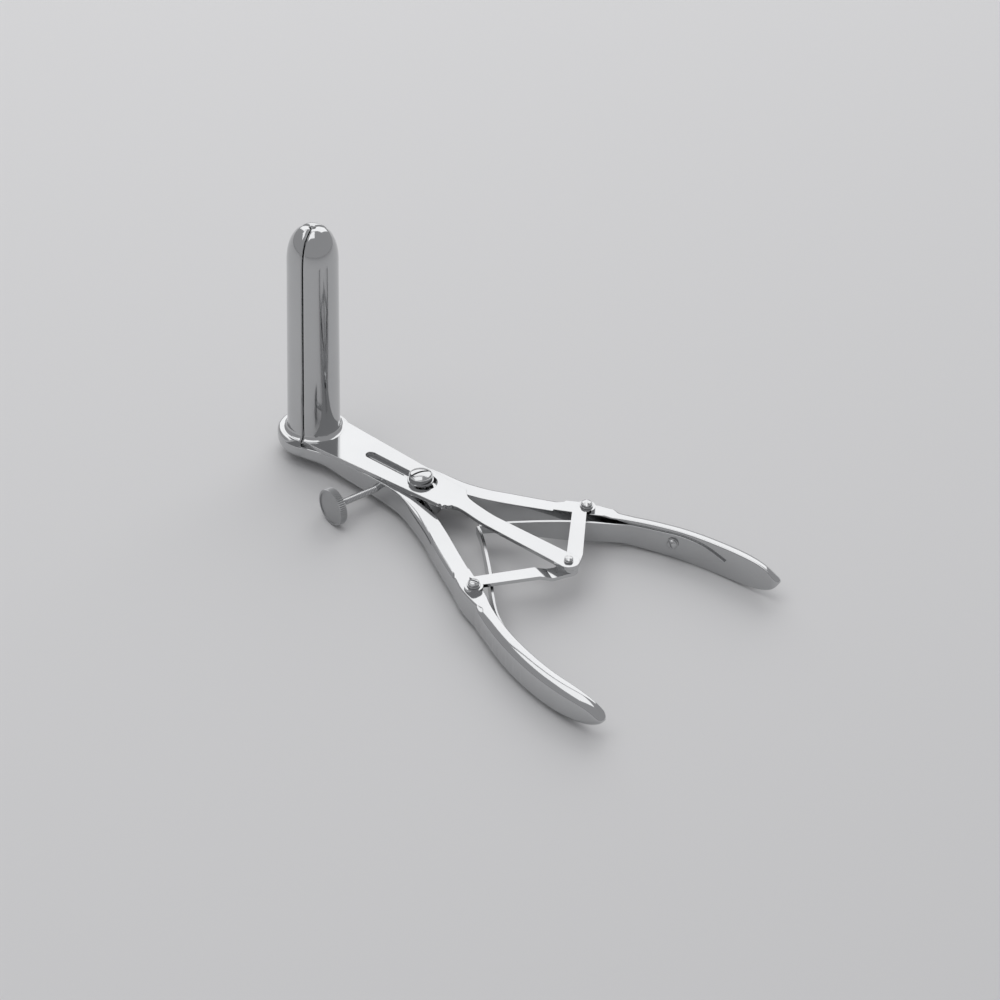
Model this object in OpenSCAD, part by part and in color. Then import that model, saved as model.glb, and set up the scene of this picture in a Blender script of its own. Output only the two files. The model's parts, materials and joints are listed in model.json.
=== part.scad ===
// Three-bladed spreading speculum with plier handles, links and a lock screw.
// X runs from the blades to the handles, Y to the far handle, Z up along the blades.

/* [Blades] */
// Height of the closed blades above the plate
blade_height = 90; // [70:1:105]
// Outside radius of the closed blades at their base
blade_radius = 10.3; // [9.6:0.1:11]
// Radius that the blades lose up to the dome
blade_taper = 0.5; // [0.2:0.1:1]
// Wall thickness of a blade
blade_wall = 1.6; // [1.2:0.1:2]
// Height of the domed end
dome_height = 15; // [11:0.5:20]
// Angle that the sliding blade covers, in degrees
slide_blade_angle = 144; // [120:2:156]
// Gap between two closed blades
blade_gap = 0.3; // [0.2:0.05:0.5]
// Radius of the fillet round the foot of the blades
foot_fillet = 2.1; // [1.2:0.1:2.6]

/* [Levers] */
// Distance from the pivot forward to the blade axis
blade_reach = 55; // [50:1:62]
// Distance from the pivot back to the handle ends
handle_reach = 131; // [126:1:142]
// Outside radius of the collar
collar_radius = 14.1; // [13.4:0.1:15.5]
// Height of the collar
collar_height = 8; // [7:0.1:9]
// Thickness of a handle seen from above
handle_thickness = 5.8; // [5:0.1:6.4]
// Radius of the bowed handle's outer face
handle_bow_radius = 115.8; // [110:0.2:126]
// Radius of the handle's rounded outer face in section
handle_crown_radius = 14.4; // [12:0.2:40]
// Depth of the handles' lowest point below the level that heights are measured from
handle_drop = 3.9; // [3.5:0.1:4.5]
// Number of finger grooves on each handle
groove_count = 6; // [0:1:8]
// Depth of a finger groove
groove_depth = 0.25; // [0.1:0.05:0.4]

/* [Sliding plate] */
// Height of the plate's top above the level that heights are measured from
plate_top = 16; // [15:0.1:18]
// Thickness of the plate
plate_thickness = 1.6; // [1.2:0.1:2]
// Half width of the plate beside the blades
plate_front_half = 10.9; // [10.6:0.1:11.4]
// Half width of the plate at its shoulder
plate_shoulder_half = 7.1; // [6.4:0.1:8]
// Half width of the bar at its tail
bar_tail_half = 4.2; // [3.8:0.1:4.6]
// Depth that the bar is joggled down
bar_joggle = 2; // [1.6:0.1:2.4]
// Travel that the slot allows
slot_travel = 25.3; // [24.8:0.1:26]
// Radius of the keyhole's round end
keyhole_radius = 5.2; // [4.9:0.1:5.4]

/* [Pivot and screws] */
// Radius of the pivot shank
pivot_radius = 1.9; // [1.6:0.1:2.2]
// Radius of the pivot head
pivot_head_radius = 4.6; // [4.2:0.1:4.8]
// Height of the pivot head without its dome
pivot_head_height = 2.2; // [1.6:0.1:3]
// Radius of a lap lobe round the pivot
lobe_radius = 8.4; // [7.6:0.1:8.8]
// Radius of a link screw's shank
link_screw_radius = 1.2; // [1:0.1:1.4]
// Radius of a link screw's head
link_head_radius = 2.2; // [1.9:0.1:2.5]
// Radius of the tail pin's shank
tail_pin_radius = 0.75; // [0.6:0.05:0.8]
// Radius of a spring screw's head
spring_head_radius = 2.2; // [1.9:0.1:2.4]
// Width of a screwdriver slot
driver_slot = 0.8; // [0.6:0.1:1]

/* [Links] */
// Distance of a link screw behind the pivot
link_screw_x = 54.4; // [52:0.2:56]
// Distance of a link screw from the middle
link_screw_y = 33.3; // [32.6:0.1:34]
// Distance of the tail pin behind the pivot
tail_pin_x = 72.2; // [70:0.2:75]
// Width of a link
link_width = 5.8; // [5:0.1:6.4]
// Thickness of a link
link_thickness = 1.5; // [1.2:0.1:1.5]
// Radius of a link's eye
link_eye_radius = 3.5; // [3.2:0.1:3.8]

/* [Springs] */
// Thickness of a leaf spring
leaf_thickness = 0.8; // [0.6:0.05:1]
// Distance of a spring screw behind the pivot
spring_screw_x = 87; // [84:1:94]

/* [Lock screw] */
// Radius of the lock screw's thread
lock_radius = 1.25; // [1:0.05:1.5]
// Distance from the lever's wall to the knob
lock_reach = 18.5; // [16:0.5:22]
// Radius of the knob
knob_radius = 7.4; // [6:0.1:8]
// Thickness of the knob
knob_thickness = 3.2; // [2.6:0.1:4]
// Number of knurl teeth on the knob
knurl_count = 56; // [40:2:72]
// Pitch of the thread
thread_pitch = 0.7; // [0.6:0.05:0.8]

/* [Hidden] */
$fn = 96;

steel_colour = "#d2d4d6";
spring_colour = "#c2c5c9";
screw_colour = "#cbcdd0";
knob_colour = "#b4b6b9";

sink = 0.3;
big = 400;
fit_clear = 0.05;
face_clear = 0.15;
pivot_x = (collar_radius + blade_reach - handle_reach) / 2;
plate_low = plate_top - plate_thickness;
bar_top = plate_top - bar_joggle;
bar_low = bar_top - plate_thickness;
link_top = bar_low;
pad_top = link_top - link_thickness;
collar_low = plate_top - collar_height;
blade_top = plate_top + blade_height;
bore_radius = blade_radius - blade_wall;
dome_low = blade_top - dome_height;
dome_steps = 16;
arm_low_at_pivot = 4.2;
lap_z = (plate_low + arm_low_at_pivot) / 2;
pivot_foot_radius = 3.2;
pivot_foot_height = 1.15;
pivot_foot_low = arm_low_at_pivot + fit_clear;
pivot_foot_top = pivot_foot_low + pivot_foot_height;
deep = 8;
arms_half_width = 80;

// Bow of a handle: centre and limits of its outer face
bow_start = [61, 40.5];
bow_angle = 30.35;
bow_centre = [bow_start[0] + handle_bow_radius * sin(bow_angle),
              bow_start[1] - handle_bow_radius * cos(bow_angle)];
bow_inner = handle_bow_radius - handle_thickness;
spring_screw_angle = asin((spring_screw_x - bow_centre[0]) / bow_inner);
spring_screw_z = 4.7;

// Middle of the handle's height: a point on it and its slope in degrees
handle_mid = [96, 3.2];
handle_slope = 2.8;

lock_angle = 12.5;
lock_wall = [-14.5, -9.1];
lock_z = 10;
lock_inside = 5.2;

function mix(a, b, t) = a + (b - a) * t;
function curve_point(a, b, c, d, t) =
    0.5 * (2 * b + (c - a) * t + (2 * a - 5 * b + 4 * c - d) * t * t
           + (3 * b - a - 3 * c + d) * t * t * t);
function curve(p, steps) = concat(
    [for (i = [0:len(p) - 2]) for (j = [0:steps - 1])
        curve_point(p[max(i - 1, 0)], p[i], p[i + 1], p[min(i + 2, len(p) - 1)], j / steps)],
    [p[len(p) - 1]]);
function reverse(p) = [for (i = [len(p) - 1:-1:0]) p[i]];
function mirror_y(p) = [for (q = p) [q[0], -q[1]]];

// Outline of the plate's half width, from the blades to the shoulder and the bar
function plate_half(extra) = [
    [-blade_reach - 8, plate_front_half + extra],
    [-blade_reach + 4, plate_front_half + extra],
    [-37, mix(plate_front_half, plate_shoulder_half, 0.2) + extra],
    [17, plate_shoulder_half + extra]];

// Flat region between two planes through the blade axis, kept half a gap away from both
module blade_wedge(from, to) {
    half = (to - from) / 2;
    middle = from + half;
    shift = blade_gap / 2 / sin(half);
    steps = 4;
    translate([-blade_reach, 0])
        rotate(middle)
            translate([shift, 0])
                polygon(concat([[0, 0]],
                    [for (i = [0:steps]) 40 * [cos(mix(-half, half, i / steps)), sin(mix(-half, half, i / steps))]]));
}

// Quarter ellipse from the dome's foot up to its top, as points for a half section
function dome_arc(radius, height) =
    [for (i = [0:dome_steps]) [radius * cos(90 * i / dome_steps), dome_low + height * sin(90 * i / dome_steps)]];

// Half section of the closed blades from outside: straight wall, dome and foot fillet
module blade_section() {
    fillet_at = [blade_radius + foot_fillet - 0.05, plate_top + foot_fillet - 0.03];
    polygon(concat([[0, plate_low], [blade_radius, plate_low], [blade_radius, plate_top]],
                   dome_arc(blade_radius - blade_taper, dome_height)));
    difference() {
        translate([blade_radius - 0.3, plate_top - 0.3])
            square(foot_fillet + 0.25);
        translate(fillet_at)
            circle(foot_fillet);
        translate([fillet_at[0], 0])
            square([foot_fillet, blade_top]);
        translate([0, fillet_at[1]])
            square([blade_radius + foot_fillet, foot_fillet]);
    }
}

// Room inside the collar and the blades
module blade_cavity() {
    translate([-blade_reach, 0, 0])
        rotate_extrude()
            polygon(concat([[0, -1], [bore_radius, -1], [bore_radius, plate_top]],
                           dome_arc(blade_radius - blade_taper - blade_wall, dome_height - blade_wall)));
}

module blade(from, to) {
    intersection() {
        translate([-blade_reach, 0, 0])
            rotate_extrude()
                blade_section();
        linear_extrude(blade_top + 1)
            blade_wedge(from, to);
    }
}

// Plate outline seen from above, with the bar that runs back to the tail
module plate_outline(extra) {
    half = plate_half(extra);
    back = [[18.4, 5.4], [20.5, 3.9], [24, 3.3], [48, 3.6], [tail_pin_x - 3, bar_tail_half]];
    upper = concat(half, back);
    polygon(concat(upper, reverse(mirror_y(upper))));
    translate([tail_pin_x, 0])
        circle(bar_tail_half);
}

// Side view of the plate and its bar, with the joggle behind the shoulder
module plate_side() {
    joggle_start = 17;
    joggle_end = 36;
    steps = 8;
    tail = tail_pin_x + bar_tail_half + 1;
    fall = [for (i = [0:steps])
        let (t = i / steps)
            [mix(joggle_start, joggle_end, t), -bar_joggle * (3 - 2 * t) * t * t]];
    upper = [for (q = fall) q + [0, plate_top]];
    lower = [for (q = fall) q + [0, plate_low]];
    polygon(concat([[-big / 4, plate_low]], lower, [[tail, bar_low], [tail, bar_top]],
                   reverse(upper), [[-big / 4, plate_top]]));
}

module side_extrude() {
    translate([0, big / 4, 0])
        rotate([90, 0, 0])
            linear_extrude(big / 2)
                children();
}

module driver_cut(radius, top, depth, angle) {
    translate([0, 0, top - depth + 1])
        rotate(angle)
            cube([2 * radius + 2, driver_slot, 2], center = true);
}

// Round screw head with a straight rim and a domed top, standing on its seat
module screw_head(radius, straight, rise) {
    ball = (radius * radius + rise * rise) / (2 * rise);
    rotate_extrude()
        intersection() {
            square([radius, straight + rise]);
            translate([0, straight + rise - ball])
                circle(ball, $fn = 360);
        }
}

module at_pivot() {
    translate([pivot_x, 0, handle_drop])
        children();
}

// Sliding plate in one piece with the rear blade
module centre_slide() {
    half_angle = slide_blade_angle / 2;
    slot_front = -pivot_radius - slot_travel;
    color(steel_colour)
    at_pivot()
    difference() {
        union() {
            intersection() {
                linear_extrude(plate_top + 1)
                    difference() {
                        plate_outline(0);
                        plate_front_cut(half_angle);
                    }
                side_extrude()
                    plate_side();
            }
            intersection() {
                blade(-half_angle, half_angle);
                linear_extrude(blade_top + 1)
                    plate_outline(0);
            }
        }
        blade_cavity();
        translate([1.6, 0, 0])
            cylinder(r = keyhole_radius, h = plate_top + 1);
        translate([slot_front + pivot_radius, 0, 0])
            cylinder(r = pivot_radius + fit_clear, h = plate_top + 1);
        translate([slot_front + pivot_radius, -pivot_radius - fit_clear, 0])
            cube([slot_travel, 2 * (pivot_radius + fit_clear), plate_top + 1]);
        translate([tail_pin_x, 0, 0])
            cylinder(r = tail_pin_radius + fit_clear, h = plate_top + 1);
        for (i = [0:2])
            translate([16.2 + 2.1 * i, -plate_shoulder_half - 0.3 + 1.3 * i, 0])
                cylinder(r = 0.7, h = plate_top + 1);
    }
}

// Everything in front of the rear blade's two split planes
module plate_front_cut(half_angle) {
    difference() {
        translate([-blade_reach - 40, -40])
            square([40 + 20, 80]);
        blade_wedge(-half_angle, half_angle);
    }
}

// Plan of the arm from the collar to the handle, far side
module arm_plan() {
    screw = [link_screw_x, link_screw_y];
    outer = [[-blade_reach + 4, 10.4], [-38, 9.9], [-26, 9.4], [-14, 9.6], [-4, 10.4], [1, 11.6], [6, 13.4],
             [17, 18.2], [25.5, 23], [36, 28.6], [44.5, 33], screw + [-2.9, 3.7], bow_start + [0.4, 0]];
    inner = [bow_start + [2.4, -5.3], screw + [1.4, -2.7], [40, 22], [26, 14.2], [16, 9.2],
             [9, 6.2], [4, 3.4]];
    polygon(concat(curve(outer, 4), curve(inner, 4), [[0, 0], [-blade_reach + 4, 0]]));
}

// Side view of a lever, from the collar to the handle's rounded end
module lever_side() {
    pad_from = link_screw_x - 9.2;
    pad_to = link_screw_x + 7.4;
    back = handle_reach;
    top = concat([[-big / 4, plate_low], [9, plate_low]],
        curve([[9.3, 12.2], [17, 11.7], [22, 11.25], [34, 10.5], [pad_from, pad_top - 0.9]], 4),
        [[pad_from, pad_top], [pad_to, pad_top]],
        curve([[pad_to, pad_top - 0.7], [back - 51, 10.1], [back - 41, 10], [back - 27, 9.5], [back - 19, 9.3],
               [back - 12, 9], [back - 5, 7.9], [back - 1.4, 5.8], [back, 3.7]], 5));
    bottom = curve([[back, 3.7], [back - 1.2, 1.5], [back - 3, -0.5], [back - 6, -2.2], [back - 11, -3.3],
                    [back - 19, -handle_drop], [back - 27, -handle_drop], [back - 41, -3.2], [back - 54, -2.15],
                    [back - 71, -0.4], [40, 1.4], [20, 2.8], [0, arm_low_at_pivot], [-20, 5.6], [-34, 6.7],
                    [-48, collar_low]], 4);
    polygon(concat(top, bottom, [[-big / 4, collar_low]]));
}

// Bowed handle: a ring section with a flat inner and a rounded outer face
module handle_ring() {
    difference() {
        translate([handle_mid[0], 0, handle_mid[1]])
            rotate([0, handle_slope, 0])
                translate([bow_centre[0] - handle_mid[0], bow_centre[1], 0])
                    rotate([0, 0, 45])
                        rotate_extrude(angle = 90)
                            intersection() {
                                translate([bow_inner - 4, -2 * deep])
                                    square([handle_thickness + 5, 4 * deep]);
                                translate([handle_bow_radius - handle_crown_radius, 0])
                                    circle(handle_crown_radius, $fn = 180);
                            }
        translate([bow_centre[0], bow_centre[1], -2 * deep])
            cylinder(r = bow_inner, h = 4 * deep + plate_top, $fn = 360);
    }
}

// Keeps the ring from the pad to the handle's end, and rounds that end in plan
module handle_limits() {
    round = handle_thickness / 2;
    end_radius = handle_bow_radius - round;
    end_x = handle_reach - round;
    end_y = bow_centre[1] + sqrt(pow(end_radius, 2) - pow(end_x - bow_centre[0], 2));
    translate([bow_start[0] + 0.6, 0, -deep])
        cube([end_x - bow_start[0] - 0.6, arms_half_width, plate_top + deep]);
    translate([end_x, end_y, -deep])
        cylinder(r = round, h = plate_top + deep, $fn = 48);
}

module handle_grooves() {
    cutter = 3;
    for (i = [0:max(groove_count - 1, 0)])
        translate([bow_centre[0], bow_centre[1], -deep])
            rotate(90 + 20.3 - 2.15 * i)
                translate([handle_bow_radius + cutter - groove_depth, 0, 0])
                    cylinder(r = cutter, h = plate_top + deep, $fn = 48);
}

module collar_section() {
    round = 3;
    translate([0, collar_low])
        square([collar_radius - round, collar_height]);
    translate([0, collar_low + round])
        square([collar_radius, collar_height - round]);
    translate([collar_radius - round, collar_low + round])
        circle(round);
}

// Lever body of the far side; low_lap says which half of the lap it keeps
module lever_body(low_lap) {
    half_angle = slide_blade_angle / 2;
    lobe_low = low_lap ? arm_low_at_pivot : lap_z;
    lobe_high = low_lap ? lap_z : plate_low;
    cut_low = low_lap ? lap_z : 0;
    cut_high = low_lap ? plate_top : lap_z;
    difference() {
        union() {
            lever_solid(half_angle, cut_low, cut_high);
            translate([0, 0, lobe_low])
                cylinder(r = lobe_radius, h = lobe_high - lobe_low);
        }
        translate([0, 0, -1])
            cylinder(r = pivot_radius + fit_clear, h = plate_top + 2);
        translate([0, 0, -1])
            cylinder(r = pivot_foot_radius + face_clear, h = pivot_foot_top + fit_clear + 1);
    }
}

// Lever without the lobe: arm, handle, collar half and blade, cut to its own side of the tool
module lever_solid(half_angle, cut_low, cut_high) {
    past_middle = 200;
    difference() {
        union() {
            intersection() {
                translate([0, 0, -deep])
                    linear_extrude(plate_top + deep)
                        arm_plan();
                side_extrude()
                    lever_side();
                shoulder_limit();
            }
            intersection() {
                handle_ring();
                handle_limits();
                side_extrude()
                    lever_side();
            }
            translate([-blade_reach, 0, 0])
                rotate_extrude()
                    collar_section();
            blade(half_angle, past_middle);
        }
        blade_cavity();
        translate([-big / 2, -big / 2, -1])
            cube([big, big / 2 + blade_gap / 2, blade_top + 2]);
        translate([0, 0, cut_low])
            cylinder(r = lobe_radius + face_clear, h = cut_high - cut_low);
        translate([0, 0, plate_low])
            linear_extrude(plate_thickness + 1)
                intersection() {
                    plate_outline(face_clear);
                    plate_wedge(half_angle);
                }
        if (groove_count > 0)
            handle_grooves();
    }
}

// Everything but the wedge that the arm's bevelled outer top edge loses
module shoulder_limit() {
    heading = 26.2;
    fall = 3.6;
    from = 10.5;
    length = 34;
    difference() {
        translate([-big / 2, -arms_half_width, -deep])
            cube([big, 2 * arms_half_width, plate_top + 2 * deep]);
        translate([17, 17.5, 11])
            rotate([0, 0, heading])
                rotate([0, fall, 0])
                    rotate([45, 0, 0])
                        translate([from - 17, 0, -10])
                            cube([length, 10, 20]);
    }
}

// Sector behind the blade axis that the plate may fill, with a little room
module plate_wedge(half_angle) {
    room = (face_clear + fit_clear) / sin(half_angle);
    translate([-room, 0])
        difference() {
            translate([-blade_reach, -arms_half_width / 2])
                square([big / 2, arms_half_width]);
            translate([-blade_reach, 0])
                for (s = [0, 1])
                    mirror([0, s])
                        polygon([[0, 0], [40 * cos(half_angle), 40 * sin(half_angle)], [-1, 40], [-1, 0]]);
        }
}

module lever_holes() {
    translate([link_screw_x, link_screw_y, pad_top - 5])
        cylinder(r = link_screw_radius + fit_clear, h = 10);
    translate([bow_centre[0], bow_centre[1], spring_screw_z])
        rotate([0, 0, 90 - spring_screw_angle])
            translate([bow_inner - 1, 0, 0])
                rotate([0, 90, 0])
                    cylinder(r = link_screw_radius + fit_clear, h = handle_thickness - 0.5);
}

module far_lever() {
    color(steel_colour)
    at_pivot()
    difference() {
        lever_body(false);
        lever_holes();
    }
}

module near_lever() {
    color(steel_colour)
    at_pivot()
    difference() {
        mirror([0, 1, 0])
            difference() {
                lever_body(true);
                lever_holes();
            }
        lock_axis()
            translate([0, 0, -14])
                cylinder(r = lock_radius + fit_clear, h = 24);
    }
}

// Places its children on the lock screw's axis, pointing out of the near lever
module lock_axis() {
    translate([lock_wall[0], lock_wall[1], lock_z])
        rotate([0, 0, -lock_angle])
            rotate([90, 0, 0])
                children();
}

module lock_screw() {
    turns = floor((lock_inside + lock_reach - 1) / thread_pitch);
    root = lock_radius - 0.25;
    profile = [for (i = [0:turns - 1]) each [[root, i * thread_pitch], [lock_radius, (i + 0.5) * thread_pitch]]];
    color(screw_colour)
    at_pivot()
        lock_axis()
            translate([0, 0, -lock_inside])
                rotate_extrude($fn = 48)
                    polygon(concat([[0, 0]], profile,
                        [[root, turns * thread_pitch], [root, lock_inside + lock_reach + 1],
                         [0, lock_inside + lock_reach + 1]]));
}

// Ring that bevels the rim of the knob on one side
module knob_bevel(size) {
    rotate_extrude()
        polygon([[knob_radius - size, -1], [knob_radius + 1, -1], [knob_radius + 1, size + 1],
                 [knob_radius - size, 0]]);
}

module lock_knob() {
    knurl_depth = 0.3;
    bevel = 0.35;
    dish = 0.3;
    socket = lock_radius - 0.25 + fit_clear;
    color(knob_colour)
    at_pivot()
        lock_axis()
            translate([0, 0, lock_reach])
                difference() {
                    linear_extrude(knob_thickness)
                        polygon([for (i = [0:2 * knurl_count - 1])
                            let (r = knob_radius - (i % 2) * knurl_depth, a = 180 * i / knurl_count)
                                [r * cos(a), r * sin(a)]]);
                    knob_bevel(bevel);
                    translate([0, 0, knob_thickness])
                        mirror([0, 0, 1])
                            knob_bevel(bevel);
                    translate([0, 0, -1])
                        cylinder(r = socket, h = 2 + fit_clear);
                    translate([0, 0, knob_thickness - dish])
                        cylinder(r = knob_radius - 1, h = 1);
                }
}

module pivot_screw() {
    dome = 1.3;
    top = plate_top + fit_clear;
    color(screw_colour)
    at_pivot() {
        translate([0, 0, pivot_foot_low])
            cylinder(r = pivot_radius, h = top - pivot_foot_low + sink);
        translate([0, 0, pivot_foot_low])
            cylinder(r = pivot_foot_radius, h = pivot_foot_height);
        difference() {
            translate([0, 0, top])
                screw_head(pivot_head_radius, pivot_head_height, dome);
            driver_cut(pivot_head_radius, top + pivot_head_height + dome, 1.6, 70);
        }
    }
}

module link_screw(slot_angle) {
    dome = 0.6;
    straight = 1.3;
    top = link_top + fit_clear;
    color(screw_colour)
    translate([link_screw_x, link_screw_y, 0]) {
        translate([0, 0, pad_top - 4.8])
            cylinder(r = link_screw_radius, h = link_thickness + 4.8 + fit_clear + sink);
        difference() {
            translate([0, 0, top])
                screw_head(link_head_radius, straight, dome);
            driver_cut(link_head_radius, top + straight + dome, 1, slot_angle);
        }
    }
}

module near_link_screw() {
    at_pivot()
        mirror([0, 1, 0])
            link_screw(-20);
}

module far_link_screw() {
    at_pivot()
        link_screw(-52);
}

module tail_pin() {
    head_radius = 1.7;
    foot_radius = 2.6;
    foot_thickness = 0.9;
    foot_top = pad_top - 2 * fit_clear - link_thickness;
    color(screw_colour)
    at_pivot()
    translate([tail_pin_x, 0, 0]) {
        translate([0, 0, foot_top - 0.2])
            cylinder(r = tail_pin_radius, h = bar_top - foot_top + 0.2 + fit_clear + sink);
        translate([0, 0, foot_top - foot_thickness])
            cylinder(r = foot_radius, h = foot_thickness);
        difference() {
            translate([0, 0, bar_top + fit_clear])
                screw_head(head_radius, 0.9, 0.5);
            driver_cut(head_radius, bar_top + fit_clear + 1.4, 0.8, -52);
        }
    }
}

// Flat outline of the far link: eye, dog-legged strip and tail end with its long hole
module link_plan(square_end) {
    run = [tail_pin_x - link_screw_x, -link_screw_y];
    length = norm(run);
    heading = atan2(run[1], run[0]);
    half = link_width / 2;
    eye_side = -2.2;
    tail_side = 1.2;
    hole_half_length = 1.6;
    hole_half_width = tail_pin_radius + 0.6;
    translate([link_screw_x, link_screw_y])
        rotate(heading)
            difference() {
                union() {
                    circle(link_eye_radius);
                    polygon([[0.4, eye_side - half], [length - 5, tail_side - half],
                             [length, -half - 0.6], [length + (square_end ? 3.4 : 0), -half - 0.6],
                             [length + (square_end ? 3.4 : 0), half - 0.4], [length, half + 0.8],
                             [length - 7, tail_side + half], [3.6, eye_side + half]]);
                    translate([length, 0])
                        circle(half + 0.8);
                }
                circle(link_screw_radius + fit_clear);
                translate([length, 0])
                    for (s = [-1, 1])
                        translate([s * hole_half_length, 0])
                            circle(hole_half_width, $fn = 48);
                translate([length - hole_half_length, -hole_half_width])
                    square([2 * hole_half_length, 2 * hole_half_width]);
            }
}

module far_link() {
    color(steel_colour)
    at_pivot()
        translate([0, 0, pad_top])
            linear_extrude(link_thickness)
                link_plan(true);
}

// The near link steps down under the far one at the tail
module near_link() {
    run = [tail_pin_x - link_screw_x, -link_screw_y];
    heading = atan2(run[1], run[0]);
    step = link_thickness + fit_clear;
    step_from = 25;
    step_to = 29.5;
    color(steel_colour)
    at_pivot()
        mirror([0, 1, 0])
            intersection() {
                translate([0, 0, pad_top - step])
                    linear_extrude(link_thickness + step)
                        link_plan(false);
                translate([link_screw_x, link_screw_y, 0])
                    rotate([0, 0, heading])
                        side_extrude()
                            polygon([[-10, pad_top], [step_from, pad_top], [step_to, pad_top - step],
                                     [60, pad_top - step], [60, link_top - step], [step_to, link_top - step],
                                     [step_from, link_top], [-10, link_top]]);
            }
}

// Leaf spring of the far side: it lies on the handle's inner face and reaches the middle
module leaf_plan() {
    outer_radius = bow_inner - fit_clear;
    outer_end = handle_reach - 23;
    lift_off = 68;
    lift_angle = asin((lift_off - bow_centre[0]) / outer_radius);
    lift_point = bow_centre + outer_radius * [sin(lift_angle), cos(lift_angle)];
    join_angle = lift_angle - 0.1;
    tip = [28.6, 0.7];
    path = curve([lift_point, [58.6, 30.4], [50.5, 23.4], [42, 14.8], [34.5, 6.6], tip], 4);
    lower = curve([tip + [0.5, -0.3], [35.1, 6], [42.6, 14.2], [51.1, 22.8], [59.1, 29.7],
                   lift_point + leaf_thickness * [-sin(lift_angle), -cos(lift_angle)]], 4);
    polygon(concat(path, lower));
    intersection() {
        translate(bow_centre)
            difference() {
                circle(outer_radius, $fn = 360);
                circle(outer_radius - leaf_thickness, $fn = 360);
            }
        polygon([bow_centre, bow_centre + (outer_radius + 10) * [sin(join_angle), cos(join_angle)],
                 [outer_end, arms_half_width], [outer_end, bow_centre[1]]]);
    }
}

module leaf_side() {
    back = handle_reach;
    upper = curve([[20, 8.4], [34, 8.9], [44, 10], [51, 10.5], [58, 10.1], [67, 8.9], [back - 58, 8.6],
                   [back - 50, 8.4], [back - 41, 8.5], [back - 32.5, 7.4], [back - 25, 4.8], [back - 23, 3.8]], 4);
    lower = curve([[back - 23, 3.8], [back - 25.4, 2.8], [back - 32.5, 0.7], [back - 41, -0.5], [back - 51, -0.4],
                   [66, 0.6], [50, 2.4], [34, 4.6], [20, 5.6]], 4);
    polygon(concat(upper, lower));
}

module leaf_spring() {
    difference() {
        intersection() {
            translate([0, 0, -deep])
                linear_extrude(plate_top + deep)
                    leaf_plan();
            side_extrude()
                leaf_side();
        }
        spring_axis()
            translate([0, 0, -4])
                cylinder(r = link_screw_radius + fit_clear, h = 8);
    }
}

// Places its children on the spring screw's axis, pointing to the middle of the tool
module spring_axis() {
    translate([bow_centre[0], bow_centre[1], spring_screw_z])
        rotate([0, 0, 90 - spring_screw_angle])
            translate([bow_inner, 0, 0])
                rotate([0, -90, 0])
                    children();
}

module far_spring() {
    color(spring_colour)
    at_pivot()
        leaf_spring();
}

module near_spring() {
    color(spring_colour)
    at_pivot()
        mirror([0, 1, 0])
            leaf_spring();
}

module spring_screw() {
    seat = leaf_thickness + 2 * fit_clear;
    dome = 0.7;
    straight = 0.9;
    color(screw_colour)
    spring_axis() {
        translate([0, 0, 0.6 - handle_thickness + 1.2])
            cylinder(r = link_screw_radius, h = handle_thickness - 1.8 + seat + sink);
        difference() {
            translate([0, 0, seat])
                screw_head(spring_head_radius, straight, dome);
            driver_cut(spring_head_radius, seat + straight + dome, 0.9, 25);
        }
    }
}

module far_spring_screw() {
    at_pivot()
        spring_screw();
}

module near_spring_screw() {
    at_pivot()
        mirror([0, 1, 0])
            spring_screw();
}

centre_slide();
near_lever();
far_lever();
pivot_screw();
near_link();
far_link();
near_link_screw();
far_link_screw();
tail_pin();
near_spring();
far_spring();
near_spring_screw();
far_spring_screw();
lock_screw();
lock_knob();
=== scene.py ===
import bmesh
import bpy
import json
import math
import numpy as np
from mathutils import Matrix, Vector
from mathutils.geometry import delaunay_2d_cdt


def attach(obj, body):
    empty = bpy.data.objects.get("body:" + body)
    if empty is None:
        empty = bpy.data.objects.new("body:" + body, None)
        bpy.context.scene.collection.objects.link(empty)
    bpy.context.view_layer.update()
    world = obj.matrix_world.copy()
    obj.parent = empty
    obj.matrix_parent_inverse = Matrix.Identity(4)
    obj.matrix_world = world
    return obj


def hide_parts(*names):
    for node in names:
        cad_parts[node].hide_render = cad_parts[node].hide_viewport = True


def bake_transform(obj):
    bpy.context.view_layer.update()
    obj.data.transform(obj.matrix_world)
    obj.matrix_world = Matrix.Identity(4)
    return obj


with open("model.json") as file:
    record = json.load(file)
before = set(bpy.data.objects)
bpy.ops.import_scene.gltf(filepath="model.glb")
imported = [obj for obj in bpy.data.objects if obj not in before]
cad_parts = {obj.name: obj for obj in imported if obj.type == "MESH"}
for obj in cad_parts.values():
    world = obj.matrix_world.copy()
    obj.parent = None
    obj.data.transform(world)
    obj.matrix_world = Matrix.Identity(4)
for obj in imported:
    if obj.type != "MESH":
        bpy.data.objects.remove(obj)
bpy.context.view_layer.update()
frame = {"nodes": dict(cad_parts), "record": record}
nodes = frame["nodes"]

# Distances are millimetres as in part.scad: X counts from the pivot, Z from its own level
PIVOT_X = -30.95
LIFT = 3.9
MM = 0.001

# Camera: the photograph's viewing angle
CAM_AZ = 0.669079
CAM_EL = 0.623793
CAM_ROLL = 0.037246
CAM_PLACE = Vector((567.05, -707.1, 678.1)) * MM
CAM_LENS = 107.4
CAM_SENSOR = 36.0

# Blades and collar
AXIS_X = -55.0
PLATE_TOP = 16.0
PLATE_LOW = 14.4
COLLAR_LOW = 8.0
COLLAR_RADIUS = 14.1
BORE = 8.7
BLADE_RADIUS = 10.3
BLADE_TAPER = 0.5
BLADE_WALL = 1.6
BLADE_TOP = 106.0
DOME = 15.0
SLIDE_HALF = 72.0
HALF_GAP = 0.15

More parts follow.
